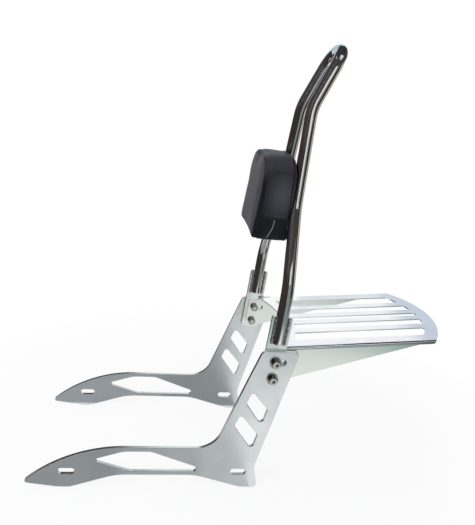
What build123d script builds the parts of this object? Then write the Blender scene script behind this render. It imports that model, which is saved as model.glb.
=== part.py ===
from build123d import *
import os
from math import atan2, cos, degrees, radians, sin, sqrt, tan

# Motorcycle backrest bar with a pad and a luggage rack, on two bolt-on side plates.
# Millimetres and degrees. X runs rearward, Y to the rider's right, Z up.
# Side-view sizes (x, z) are measured from the front mounting slot of a side plate;
# those of the arm, heel and window tail are measured from the rear slot, the joint's drop
# from the top of the arm, and those of the tab, the rack and the bar's foot from the joint.

# Overall width and the layers of each bolted corner, from outside to inside
plate_span = 258.0
plate_thickness = 6.0
tab_thickness = 6.0
rack_sheet = 2.0

# Side plate: mounting slots
slot_spacing = 280.0
slot_length = 27.0
slot_width = 11.0

# Side plate: beam with a drooping nose and a rounded belly under the front slot
nose_reach = 69.5
nose_drop = 21.0
nose_radius = 4.0
belly_drop = 31.47
belly_radius = 32.0
beam_top = 44.4
beam_top_start = 95.0
beam_bottom = 6.5
beam_bottom_start = 78.5
beam_bottom_end = 72.0
beam_bend_radius = 100.0

# Side plate: heel behind the rear slot
heel_drop = 30.7
heel_front = 8.0
heel_back = 35.0
heel_radius = 8.0
heel_front_radius = 30.0
waist_back = 26.5
waist_height = 11.0
waist_radius = 40.0

# Side plate: upright arm
arm_top = 222.2
arm_front_foot = -45.1
arm_front_lean = 20.2
arm_rear_lean = 14.3
arm_root_radius = 42.0
arm_front_corner = 12.0
arm_rear_corner = 6.0
plate_edge_break = 0.5

# Side plate: long window in the beam and slanted windows in the arm
window_nose = 38.3
window_nose_height = 20.8
window_top = 37.3
window_top_start = 90.0
window_top_end = 134.0
window_bottom = 0.0
window_bottom_start = 101.0
window_tail = 46.0
window_nose_radius = 3.8
window_crown_radius = 60.0
window_shoulder_radius = 25.0
window_floor_radius = 40.0
window_tail_radius = 5.3
arm_window_margin = 15.2
arm_window_first = 86.5
arm_window_height = 23.0
arm_window_pitch = 42.3
arm_window_top_slant = 50.0
arm_window_low_slant = 54.0
arm_window_count = 2
arm_window_radius = 5.0

# Clamped joint between plate, tab and rack
joint_back = 40.0
joint_drop = 47.7
joint_spacing = 28.7
joint_travel = 12.5
joint_slot_width = 10.5
joint_hole = 8.6

# Fasteners of the clamped joint
bolt_diameter = 8.0
bolt_head = 13.0
bolt_head_height = 8.0
bolt_socket = 6.0
bolt_socket_depth = 4.0
bolt_head_break = 0.8
bolt_overrun = 2.5
washer_diameter = 19.0
washer_hole = 8.4
washer_thickness = 1.6
nut_flats = 13.0
nut_height = 6.5
thread_clearance = 0.1

# Backrest bar: one bent tube; each bend's rise is taken from the one below, the first from the tab
tube_diameter = 20.0
tube_wall = 2.0
bar_lean = 4.74
bar_joint_offset = 1.88
bar_foot_rise = 11.7
bar_flare_rise = 44.0
bar_gather_rise = 122.0
bar_kink_rise = 150.0
bar_top_rise = 90.0
bar_gather_half = 60.5
bar_kink_half = 38.0
bar_top_half = 33.0
bar_top_lean = 24.8
bar_flare_radius = 100.0
bar_kink_radius = 80.0
bar_arch_radius = 31.5

# Tabs that carry the bar
tab_width = 33.0
tab_end = 14.0
tab_overlap = 45.1
tab_corner = 4.0
tab_slot_clearance = 0.1
weld_radius = 3.6
weld_offset = 1.0

# Luggage rack: one folded sheet
rack_rise = 48.57
rack_slope = 4.813
rack_bend_radius = 5.0
rack_rear_center = 102.6
rack_rear_radius = 205.0
rack_rear_corner = 13.0
rack_front_center = -237.8
rack_front_radius = 273.0
rack_front_rim = 17.0
rack_rear_rim = 22.0
rack_slat = 17.0
rack_center_slot = 12.0
rack_inner_slot = 20.8
rack_outer_slot = 29.5
rack_slot_corner = 4.0
flange_front_offset = 12.0
flange_front_corner = 12.0
flange_end = 17.5
flange_slope = 17.66

# Backrest pad, upholstered on a board; its rise is taken from the gather of the bar
pad_width = 150.0
pad_height = 130.5
pad_depth = 52.7
pad_lean = 2.0
pad_front_lean = 6.0
pad_rise = 7.75
pad_top_corner = 20.0
pad_bottom_corner = 9.0
pad_front_edge = 9.0
pad_back_edge = 5.0
pad_clearance = 0.3
cover_thickness = 1.5
board_thickness = 10.0
board_width = 88.0
board_margin = 8.0
board_corner = 5.0

# Pad bracket: a flat strip between the legs of the bar, with the pad's screws
bracket_height = 24.0
bracket_thickness = 3.0
bracket_rise = 31.0
bracket_inset = 2.0
bracket_gap = 0.4
bracket_weld_radius = 3.2
bracket_weld_offset = 1.0
screw_spacing = 60.0
screw_diameter = 6.0
screw_head = 10.5
screw_head_height = 3.3
screw_head_break = 1.2
screw_socket = 4.0
screw_socket_depth = 2.0
screw_hole = 6.6
pad_washer_diameter = 14.0
pad_washer_thickness = 1.4
tee_barrel = 8.5
tee_flange = 19.0
tee_flange_thickness = 1.5
tee_seat_clearance = 0.2

# Planes shared by the pieces
plate_outer = plate_span / 2
plate_inner = plate_outer - plate_thickness
tab_inner = plate_inner - tab_thickness
flange_inner = tab_inner - rack_sheet
leg_half = (plate_inner + tab_inner) / 2
tube_radius = tube_diameter / 2
joint_x = slot_spacing + joint_back
joint_z = arm_top - joint_drop
tab_bottom_z = joint_z - tab_end
rack_joint_height = joint_z + rack_rise
flange_bottom_z = joint_z - flange_end
bar_foot_z = arm_top + bar_foot_rise
tab_top_z = bar_foot_z + tab_overlap
bar_flare_z = tab_top_z + bar_flare_rise
bar_gather_z = bar_flare_z + bar_gather_rise
bar_kink_z = bar_gather_z + bar_kink_rise
bar_top_z = bar_kink_z + bar_top_rise
pad_center_z = bar_gather_z + pad_rise
bracket_center_z = bar_gather_z + bracket_rise
full_turn = 360.0
right_angle = 90.0
cut_past = 2.0
hex_sides = 6
above = (Align.CENTER, Align.CENTER, Align.MIN)
below = (Align.CENTER, Align.CENTER, Align.MAX)


def bar_x(z):
    """Fore-and-aft place of the bar's centre line at height z, below the kink."""
    return joint_x - bar_joint_offset + tan(radians(bar_lean)) * (z - joint_z)


def cross(point_a, angle_a, point_b, angle_b):
    """Where two lines meet, each given by a point (x, z) and a lean from vertical."""
    ax, az = sin(radians(angle_a)), cos(radians(angle_a))
    bx, bz = sin(radians(angle_b)), cos(radians(angle_b))
    dx, dz = point_b[0] - point_a[0], point_b[1] - point_a[1]
    along = (dx * bz - dz * bx) / (ax * bz - az * bx)
    return (point_a[0] + along * ax, point_a[1] + along * az)


def slab(sketch, inner, thickness):
    """A side-view sketch as a left-hand slab, from inner to inner + thickness off the centre."""
    return extrude(Plane.XZ.offset(inner) * sketch, amount=thickness)


def right_hand(piece):
    """The piece mirrored to the right-hand side."""
    return mirror(piece, about=Plane.XZ)


arm_front_base = (slot_spacing + arm_front_foot, beam_top)
arm_rear_base = (slot_spacing + waist_back, waist_height)


def plate_outline():
    """Side plate seen from the side: nose, belly, beam, heel and leaning arm."""
    nose = (-nose_reach, -nose_drop)
    beam_start = (beam_top_start, beam_top)
    corners = [
        nose,
        (0, -belly_drop),
        (beam_bottom_start, -beam_bottom),
        (slot_spacing - beam_bottom_end, -beam_bottom),
        (slot_spacing + heel_front, -heel_drop),
        (slot_spacing + heel_back, -heel_drop),
        arm_rear_base,
        cross(arm_rear_base, arm_rear_lean, (0, arm_top), right_angle),
        cross(arm_front_base, arm_front_lean, (0, arm_top), right_angle),
        arm_front_base,
        beam_start,
    ]
    radii = [
        belly_radius,
        beam_bend_radius,
        beam_bend_radius,
        heel_front_radius,
        heel_radius,
        waist_radius,
        arm_rear_corner,
        arm_front_corner,
        arm_root_radius,
    ]
    edge = FilletPolyline(*corners, radius=radii)
    brow = TangentArc(beam_start, nose, tangent=(-1, 0))
    face = make_face(edge.edges() + [brow])
    tip = face.vertices().sort_by(Axis.X)[0]
    return fillet(tip, nose_radius)


def beam_window():
    """Long tapering window in the beam."""
    corners = [
        (window_nose, window_nose_height),
        (window_top_start, window_top),
        (window_top_end, window_top),
        (slot_spacing - window_tail, window_bottom),
        (window_bottom_start, window_bottom),
    ]
    radii = [
        window_nose_radius,
        window_crown_radius,
        window_shoulder_radius,
        window_tail_radius,
        window_floor_radius,
    ]
    return make_face(FilletPolyline(*corners, radius=radii, close=True))


def arm_window(low):
    """Slanted window in the arm whose front lower corner is at height low."""
    front_shift = arm_window_margin / cos(radians(arm_front_lean))
    rear_shift = arm_window_margin / cos(radians(arm_rear_lean))
    front = (arm_front_base[0] + front_shift, arm_front_base[1])
    rear = (arm_rear_base[0] - rear_shift, arm_rear_base[1])
    rows = []
    for height, slant in ((low, arm_window_low_slant), (low + arm_window_height, arm_window_top_slant)):
        start = cross(front, arm_front_lean, (0, height), right_angle)
        rows.append((start, cross(start, right_angle + slant, rear, arm_rear_lean)))
    lower, upper = rows
    return make_face(FilletPolyline(*lower, *upper[::-1], radius=arm_window_radius, close=True))


def joint_top():
    """Place (x, z) of the upper joint bolt, on the bar's lean above the lower one."""
    lean = radians(bar_lean)
    return (joint_x + joint_spacing * sin(lean), joint_z + joint_spacing * cos(lean))


def joint_points():
    """Places (x, z) of the two joint bolts."""
    return ((joint_x, joint_z), joint_top())


def travel_slot():
    """Wide slot behind the upper joint bolt, in which it travels to set the bar's lean."""
    x, z = joint_top()
    return Pos(x + joint_travel / 2, z) * SlotCenterToCenter(joint_travel, joint_slot_width)


def joint_hole_face():
    """Round hole at the lower joint bolt."""
    return Pos(joint_x, joint_z) * Circle(joint_hole / 2)


def left_side_plate():
    """Flat plate that bolts to the mudguard rail, with its windows, slots and joint holes."""
    face = plate_outline() - beam_window() - travel_slot() - joint_hole_face()
    for x in (0, slot_spacing):
        face -= Pos(x, 0) * SlotOverall(slot_length, slot_width)
    for index in range(arm_window_count):
        face -= arm_window(arm_window_first + index * arm_window_pitch)
    plate = slab(face, plate_inner, plate_thickness)
    outer_edges = plate.faces().sort_by(Axis.Y)[0].edges()
    return chamfer(outer_edges, plate_edge_break)


def bar_plane(z, half=0.0):
    """Section plane of the bar at height z: local X rearward, local Y to the right, Z along the tube."""
    return Plane((bar_x(z), half, z)).rotated((0, bar_lean, 0))


def left_bar_tab():
    """Upright strip between plate and rack, with its upper end inside the slotted tube."""
    height = (tab_top_z - tab_bottom_z) / cos(radians(bar_lean))
    middle = (tab_top_z + tab_bottom_z) / 2
    strip = RectangleRounded(tab_width, height, tab_corner)
    outline = Pos(bar_x(middle), middle) * Rot(0, 0, -bar_lean) * strip
    holes = [Pos(x, z) * Circle(joint_hole / 2) for x, z in joint_points()]
    return slab(outline - holes, tab_inner, tab_thickness)


def bar_path():
    """Centre line of the bar: legs, flare, gather, kink and arch, from foot to foot."""
    top_x = bar_x(bar_kink_z) + tan(radians(bar_top_lean)) * (bar_top_z - bar_kink_z)
    side = [
        (bar_x(bar_foot_z), leg_half, bar_foot_z),
        (bar_x(bar_flare_z), leg_half, bar_flare_z),
        (bar_x(bar_gather_z), bar_gather_half, bar_gather_z),
        (bar_x(bar_kink_z), bar_kink_half, bar_kink_z),
        (top_x, bar_top_half, bar_top_z),
    ]
    other = [(x, -y, z) for x, y, z in reversed(side)]
    half_radii = [bar_flare_radius, bar_flare_radius, bar_kink_radius, bar_arch_radius]
    return FilletPolyline(*side, *other, radius=half_radii + half_radii[::-1])


def tab_slot(side):
    """Cut that lets the tube's foot over the tab, on the side given as -1 or 1."""
    reach = (tab_top_z - bar_foot_z) / cos(radians(bar_lean)) + tab_slot_clearance
    gap = tab_thickness + 2 * tab_slot_clearance
    block = Box(tube_diameter + cut_past, gap, reach + cut_past, align=above)
    return bar_plane(bar_foot_z, side * leg_half) * Pos(0, 0, -cut_past) * block


def backrest_bar():
    """Bent tube with a slot sawn in each foot."""
    path = bar_path()
    start = Plane(path @ 0, z_dir=path % 0)
    ring = start * (Circle(tube_radius) - Circle(tube_radius - tube_wall))
    tube = sweep(ring, path=path)
    return tube - tab_slot(-1) - tab_slot(1)


def left_tab_welds(bar, tab):
    """Four fillet beads that join the tube's foot to both faces of the tab."""
    reach = (tab_top_z - bar_foot_z) / cos(radians(bar_lean))
    half_chord = sqrt(tube_radius**2 - (tab_thickness / 2) ** 2)
    foot = bar_plane(bar_foot_z, -leg_half)
    beads = Part()
    for fore in (-1, 1):
        for out in (-1, 1):
            center = Pos(fore * (half_chord + weld_offset), out * (tab_thickness / 2 + weld_offset))
            beads += extrude(foot * center * Circle(weld_radius), amount=reach)
    core = extrude(foot * Circle(tube_radius), amount=reach)
    return beads - core - tab - bar


def flange_outline():
    """Triangular side flange seen from the side, below the bend, without its holes."""
    lean_point = (joint_x - flange_front_offset, joint_z)
    bottom = cross(lean_point, bar_lean, (0, flange_bottom_z), right_angle)
    fold = (joint_x, rack_joint_height - rack_bend_radius / cos(radians(rack_slope)))
    top = cross(lean_point, bar_lean, fold, right_angle - rack_slope)
    tail = cross(bottom, right_angle - flange_slope, fold, right_angle - rack_slope)
    return make_face(FilletPolyline(bottom, top, tail, radius=[flange_front_corner, 0, 0], close=True))


def rack_slots():
    """The five long slots between the slats, on a plane whose X is along the rack."""
    span = Pos(rack_rear_center, 0) * Circle(rack_rear_radius - rack_rear_rim)
    span -= Pos(rack_front_center, 0) * Circle(rack_front_radius + rack_front_rim)
    length = rack_rear_center + rack_rear_radius
    inner = rack_center_slot / 2 + rack_slat + rack_inner_slot / 2
    outer = inner + rack_inner_slot / 2 + rack_slat + rack_outer_slot / 2
    rows = [(0, rack_center_slot)]
    for side in (-1, 1):
        rows += [(side * inner, rack_inner_slot), (side * outer, rack_outer_slot)]
    slots = []
    for middle, width in rows:
        strip = span & (Pos(length / 2, middle) * Rectangle(length, width))
        slots.append(fillet(strip.vertices(), rack_slot_corner))
    return slots


def rack_fold():
    """Section across the rack's top: a flat sheet bent down at both sides."""
    half = tab_inner
    outer = Pos(0, -rack_bend_radius) * Rectangle(2 * half, 2 * rack_bend_radius)
    outer = fillet(outer.vertices().group_by(Axis.Y)[-1], rack_bend_radius)
    inner = Pos(0, -rack_bend_radius - rack_sheet) * Rectangle(2 * flange_inner, 2 * rack_bend_radius)
    inner = fillet(inner.vertices().group_by(Axis.Y)[-1], rack_bend_radius - rack_sheet)
    band = Pos(0, -rack_bend_radius / 2) * Rectangle(2 * half, rack_bend_radius)
    return (outer - inner) & band


def rack_plan():
    """Rack's top seen square to it: hollow front edge, slots and a round rear edge."""
    length = rack_rear_center + rack_rear_radius
    plan = Pos(length / 2, 0) * Rectangle(length, 2 * tab_inner)
    plan &= Pos(rack_rear_center, 0) * Circle(rack_rear_radius)
    plan -= Pos(rack_front_center, 0) * Circle(rack_front_radius)
    rear = plan.vertices().group_by(Axis.X)[-1]
    return fillet(rear, rack_rear_corner) - rack_slots()


def luggage_rack():
    """Folded sheet: slatted top with rounded rear corners and a flange down each side."""
    along = Plane(origin=(0, 0, 0), x_dir=(0, 1, 0), z_dir=(1, 0, 0))
    sheet = extrude(along * rack_fold(), amount=rack_rear_center + rack_rear_radius)
    top = sheet & extrude(rack_plan(), amount=rack_bend_radius, both=True)
    top = Plane((joint_x, 0, rack_joint_height)).rotated((0, -rack_slope, 0)) * top
    flange = slab(flange_outline() - travel_slot() - joint_hole_face(), flange_inner, rack_sheet)
    return top + flange + right_hand(flange)


def hex_prism(flats, height):
    """Hexagonal prism standing on its origin plane."""
    return extrude(RegularPolygon(flats / 2, hex_sides, major_radius=False), amount=height)


def on_left(x, z, offset):
    """Plane on the left side, offset from the centre, facing out to the left."""
    return Plane.XZ.offset(offset) * Pos(x, z)


def cap_bolt():
    """Socket-head bolt along Z, with its head's seat at the origin and the head above it."""
    head = Cylinder(bolt_head / 2, bolt_head_height, align=above)
    head = chamfer(head.edges().sort_by(Axis.Z)[-1], bolt_head_break)
    head -= Pos(0, 0, bolt_head_height - bolt_socket_depth) * hex_prism(bolt_socket, bolt_socket_depth)
    seat = plate_outer + washer_thickness
    shank = seat - flange_inner + nut_height + bolt_overrun
    return head + Cylinder(bolt_diameter / 2, shank, align=below)


def washer(diameter, hole, thickness):
    """Flat washer on its origin plane."""
    return extrude(Circle(diameter / 2) - Circle(hole / 2), amount=thickness)


def hex_nut():
    """Hexagonal nut standing on its origin plane, with its outer corners broken."""
    nut = hex_prism(nut_flats, nut_height)
    cone_reach = nut_flats / 2
    cone = Cone(cone_reach + nut_height, cone_reach, nut_height, align=above)
    bore = Cylinder(bolt_diameter / 2 + thread_clearance, nut_height, align=above)
    return (nut & cone) - bore


def left_group(piece, offset, facing=1):
    """A copy of the piece at each left joint bolt; facing -1 turns it towards the centre."""
    turn = Rot(0, 0, 0) if facing == 1 else Rot(full_turn / 2, 0, 0)
    return Compound([on_left(x, z, offset) * turn * piece for x, z in joint_points()])


def leaning_plane(origin, lean):
    """Plane that faces forward and, by its lean, up: local X to the left, local Y up."""
    normal = Vector(-cos(radians(lean)), 0, sin(radians(lean)))
    return Plane(origin=origin, x_dir=(0, -1, 0), z_dir=normal)


def pad_plane(z, forward):
    """Plane of the pad at height z, turned about the bracket, at a distance before the bar."""
    x = bar_x(bracket_center_z) + tan(radians(pad_lean)) * (z - bracket_center_z)
    return leaning_plane((x, 0, z), pad_lean).offset(forward)


bracket_front = tube_radius - bracket_inset
bracket_back = bracket_front - bracket_thickness
pad_back = bracket_front + pad_clearance


def bar_solid(radius):
    """Round bar of any radius along the centre line of the backrest bar."""
    path = bar_path()
    return sweep(Plane(path @ 0, z_dir=path % 0) * Circle(radius), path=path)


def pad_solid(inset):
    """Upholstered block, smaller all round by inset, with a groove where each leg presses in."""
    outline = Rectangle(pad_width - 2 * inset, pad_height - 2 * inset)
    outline = fillet(outline.vertices().group_by(Axis.Y)[0], pad_bottom_corner - inset)
    outline = fillet(outline.vertices().group_by(Axis.Y)[-1], pad_top_corner - inset)
    back = pad_plane(pad_center_z, pad_back + inset)
    middle = pad_plane(pad_center_z, pad_back + pad_depth - inset)
    front = leaning_plane(middle.origin, pad_front_lean)
    block = extrude(back * outline, amount=2 * pad_depth)
    block = split(block, bisect_by=front, keep=Keep.BOTTOM)
    depth_axis = Axis(block.center(), back.z_dir)
    block = fillet(block.faces().sort_by(depth_axis)[-1].edges(), pad_front_edge - inset)
    block = fillet(block.faces().sort_by(depth_axis)[0].edges(), pad_back_edge - inset)
    return block - bar_solid(tube_radius + pad_clearance + inset)


def screw_places(forward):
    """Planes of the two pad screws, at a distance in front of the bar's centre line."""
    base = pad_plane(bracket_center_z, forward)
    return [base * Pos(side * screw_spacing / 2, 0) for side in (-1, 1)]


def screw_cuts(radius, start, end):
    """Round cutters at the pad screws, between two distances in front of the bar."""
    return [extrude(place * Circle(radius), amount=end - start) for place in screw_places(start)]


board_back = pad_back + cover_thickness
board_front = board_back + board_thickness


def board_outline():
    """The board seen from the front."""
    height = pad_height - 2 * (cover_thickness + board_margin)
    return RectangleRounded(board_width, height, board_corner)


def pad_board():
    """Flat board at the back of the pad, drilled for the tee nuts."""
    board = extrude(pad_plane(pad_center_z, board_back) * board_outline(), amount=board_thickness)
    bore = tee_barrel / 2 + tee_seat_clearance
    return board - screw_cuts(bore, board_back - cut_past, board_front + cut_past)


def pad_foam():
    """Foam block inside the cover, recessed for the board and the tee nuts."""
    foam = pad_solid(cover_thickness)
    seat = pad_plane(pad_center_z, board_back - cut_past)
    foam -= extrude(seat * board_outline(), amount=board_thickness + cut_past)
    pocket = board_front + tee_flange_thickness + tee_seat_clearance
    return foam - screw_cuts(tee_flange / 2 + tee_seat_clearance, board_back, pocket)


def pad_cover():
    """Sewn cover: a closed skin with a hole for each screw at the back."""
    skin = pad_solid(0) - pad_solid(cover_thickness)
    return skin - screw_cuts(screw_hole / 2, pad_back - cut_past, board_back + cut_past)


def leg_lean():
    """Angle between a leg and the bar's centre plane, between the gather and the kink."""
    rise = (bar_kink_z - bar_gather_z) / cos(radians(bar_lean))
    return degrees(atan2(bar_gather_half - bar_kink_half, rise))


def leg_half_at(up):
    """Half the legs' spread, at a distance up the bar from the middle of the bracket."""
    rise = (bracket_center_z - bar_gather_z) / cos(radians(bar_lean)) + up
    return bar_gather_half - rise * tan(radians(leg_lean()))


bracket_chord = sqrt(tube_radius**2 - bracket_back**2) + bracket_gap


def pad_bracket():
    """Flat strip between the legs, set in from their front, drilled for the pad screws."""
    half = bracket_height / 2
    low = leg_half_at(-half) - bracket_chord
    high = leg_half_at(half) - bracket_chord
    outline = make_face(Polyline((-low, -half), (low, -half), (high, half), (-high, half), close=True))
    strip = extrude(pad_plane(bracket_center_z, bracket_back) * outline, amount=bracket_thickness)
    return strip - screw_cuts(screw_hole / 2, bracket_back - cut_past, bracket_front + cut_past)


def pad_bracket_welds(bar, bracket):
    """Fillet bead behind each end of the strip, against the leg."""
    center = leaning_plane((bar_x(bracket_center_z), 0, bracket_center_z), bar_lean)
    filled = Part()
    beads = Part()
    for side in (-1, 1):
        leg = center * Pos(side * leg_half_at(0), 0) * Rot(0, 0, side * leg_lean())
        filled += leg * Rot(right_angle, 0, 0) * Cylinder(tube_radius, 2 * bracket_height)
        inward = -side * (bracket_chord + bracket_weld_offset)
        place = Pos(inward, 0, bracket_back - bracket_weld_offset)
        beads += leg * place * Rot(right_angle, 0, 0) * Cylinder(bracket_weld_radius, bracket_height)
    return beads - filled - bracket - bar


def pad_screw():
    """Domed socket screw along Z, with its seat at the origin and its head below it."""
    head = Cylinder(screw_head / 2, screw_head_height, align=below)
    head = fillet(head.edges().sort_by(Axis.Z)[0], screw_head_break)
    head -= Pos(0, 0, -screw_head_height) * hex_prism(screw_socket, screw_socket_depth)
    length = board_front - bracket_back + pad_washer_thickness
    return head + Cylinder(screw_diameter / 2, length, align=above)


def tee_nut():
    """Tee nut along Z, with its flange's seat on the origin plane and its barrel below it."""
    flange = Cylinder(tee_flange / 2, tee_flange_thickness, align=above)
    barrel = Cylinder(tee_barrel / 2, board_thickness, align=below)
    bore = Cylinder(screw_diameter / 2 + thread_clearance, 2 * (board_thickness + tee_flange_thickness))
    return flange + barrel - bore


def screw_group(piece, forward):
    """A copy of the piece at each pad screw."""
    return Compound([place * piece for place in screw_places(forward)])


def all_nodes():
    """Every piece by name, in the side-view frame."""
    plate = left_side_plate()
    tab = left_bar_tab()
    bar = backrest_bar()
    bracket = pad_bracket()
    welds = left_tab_welds(bar, tab)
    bolts = left_group(cap_bolt(), plate_outer + washer_thickness)
    washers = left_group(washer(washer_diameter, washer_hole, washer_thickness), plate_outer)
    pad_washer = washer(pad_washer_diameter, screw_hole, pad_washer_thickness)
    nuts = left_group(hex_nut(), flange_inner, -1)
    screw_seat = bracket_back - pad_washer_thickness
    nodes = {
        "backrest_bar": bar,
        "luggage_rack": luggage_rack(),
        "pad_bracket": bracket,
        "pad_bracket_welds": pad_bracket_welds(bar, bracket),
        "pad_board": pad_board(),
        "pad_foam": pad_foam(),
        "pad_cover": pad_cover(),
        "pad_screws": screw_group(pad_screw(), screw_seat),
        "pad_washers": screw_group(pad_washer, screw_seat),
        "pad_tee_nuts": screw_group(tee_nut(), board_front),
    }
    sided = {
        "side_plate": plate,
        "bar_tab": tab,
        "tab_welds": welds,
        "joint_bolts": bolts,
        "joint_washers": washers,
        "joint_nuts": nuts,
    }
    for name, piece in sided.items():
        nodes["left_" + name] = piece
        nodes["right_" + name] = right_hand(piece)
    return nodes


def main():
    """Stand the backrest on its own base centre and write one file per piece."""
    os.makedirs("parts", exist_ok=True)
    nodes = all_nodes()
    box = Compound(list(nodes.values())).bounding_box()
    to_base = Pos(-box.center().X, -box.center().Y, -box.min.Z)
    for name, piece in nodes.items():
        solids = (to_base * piece).solids()
        placed = solids[0] if len(solids) == 1 else Compound(solids)
        placed.label = name
        export_step(placed, os.path.join("parts", name + ".step"))


main()
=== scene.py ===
import logging
import math
from dataclasses import dataclass
from enum import Enum
from typing import Any, Callable, Iterable

import bmesh
import bpy
from mathutils import Matrix, Vector, noise
from mathutils.bvhtree import BVHTree
from mathutils.geometry import intersect_point_line


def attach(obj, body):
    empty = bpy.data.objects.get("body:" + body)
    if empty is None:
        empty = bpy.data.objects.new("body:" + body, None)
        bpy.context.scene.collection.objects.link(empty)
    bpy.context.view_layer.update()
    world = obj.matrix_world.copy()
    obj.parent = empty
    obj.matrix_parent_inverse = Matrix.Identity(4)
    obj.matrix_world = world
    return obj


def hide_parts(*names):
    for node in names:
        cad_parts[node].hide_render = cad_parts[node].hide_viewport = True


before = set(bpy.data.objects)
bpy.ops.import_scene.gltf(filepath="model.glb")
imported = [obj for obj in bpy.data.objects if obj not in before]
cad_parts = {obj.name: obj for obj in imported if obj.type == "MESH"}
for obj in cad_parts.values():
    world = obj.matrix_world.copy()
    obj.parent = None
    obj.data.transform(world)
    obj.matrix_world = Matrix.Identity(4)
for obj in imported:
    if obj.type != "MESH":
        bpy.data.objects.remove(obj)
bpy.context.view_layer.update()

# Motorcycle backrest bar with an upholstered pad and a slatted rack, dressed around the solids.
# Metres; X runs rearward, Y to the rider's right, Z up.

LOG = logging.getLogger("backrest")
MM = 0.001
BODY = "root"
IMAGE_SIZE = (475, 525)
SIDES = ("left", "right")
# Attribute of the painted sheen: where the vinyl is drawn lighter to stand in for light falling on
# it.
PAINTED_SHEEN_ATTRIBUTE = "painted_sheen"

Tree = bpy.types.NodeTree
Socket = bpy.types.NodeSocket
Node = bpy.types.Node
Material = bpy.types.Material
Piece = bpy.types.Object
Build = bmesh.types.BMesh
Span = tuple[float, float]
Triple = tuple[float, float, float]


def linear(hex_code: str) -> tuple[float, float, float, float]:
    """Turn an sRGB hex colour into linear light.

    Args:
        hex_code: colour as six hex digits after a hash.

    Returns:
        Red, green, blue and an alpha of one.
    """
    channels = [int(hex_code[i : i + 2], 16) / 255 for i in (1, 3, 5)]
    bent = [c / 12.92 if c <= 0.04045 else ((c + 0.055) / 1.055) ** 2.4 for c in channels]
    return (bent[0], bent[1], bent[2], 1.0)


def per_metre(size_mm: float) -> float:
    """Scale of a texture whose features are size_mm apart on Object coordinates."""
    return 1.0 / (size_mm * MM)


def rise(value: float, span: Span) -> float:
    """Share from 0 to 1 of the way that a value has come through a span."""
    return min(max((value - span[0]) / (span[1] - span[0]), 0.0), 1.0)


def add_node(
    tree: Tree,
    kind: str,
    inputs: dict[str | int, Any] | None = None,
    stops: Iterable[tuple[float, str]] = (),
    **settings: Any,
) -> Node:
    """Add a node with its settings, values, links and colour stops.

    Args:
        tree: node tree that gets the node.
        kind: Blender's identifier of the node type.
        inputs: socket name or number to a value, or to an output socket to link.
        stops: place and hex colour of each stop, where the node blends colours.
        settings: attributes of the node itself.

    Returns:
        The new node.
    """
    made = tree.nodes.new(kind)
    for name, value in settings.items():
        setattr(made, name, value)
    for socket, value in (inputs or {}).items():
        if isinstance(value, Socket):
            tree.links.new(value, made.inputs[socket])
        else:
            made.inputs[socket].default_value = value
    for index, (at, hex_code) in enumerate(stops):
        made.color_ramp.elements[index].position = at
        made.color_ramp.elements[index].color = linear(hex_code)
    return made


def empty_material(name: str) -> Material:
    """Make a material whose node tree holds nothing yet.

    Args:
        name: name of the material.

    Returns:
        The material.
    """
    material = bpy.data.materials.new(name)
    material.use_nodes = True
    material.node_tree.nodes.clear()
    return material


@dataclass(frozen=True)
class Finish:
    """A finish, by the name of its material. Each kind adds its own shader."""

    name: str

    def material(self) -> Material:
        """Build the finish's material.

        Returns:
            The material.
        """
        made = empty_material(self.name)
        tree = made.node_tree
        place = add_node(tree, "ShaderNodeTexCoord").outputs["Object"]
        shader = self._shader(tree, place)
        add_node(tree, "ShaderNodeOutputMaterial", {"Surface": shader.outputs["BSDF"]})
        return made

    def _shader(self, tree: Tree, place: Socket) -> Node:
        """Add the nodes of one kind of finish and give its shader."""
        raise NotImplementedError


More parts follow.
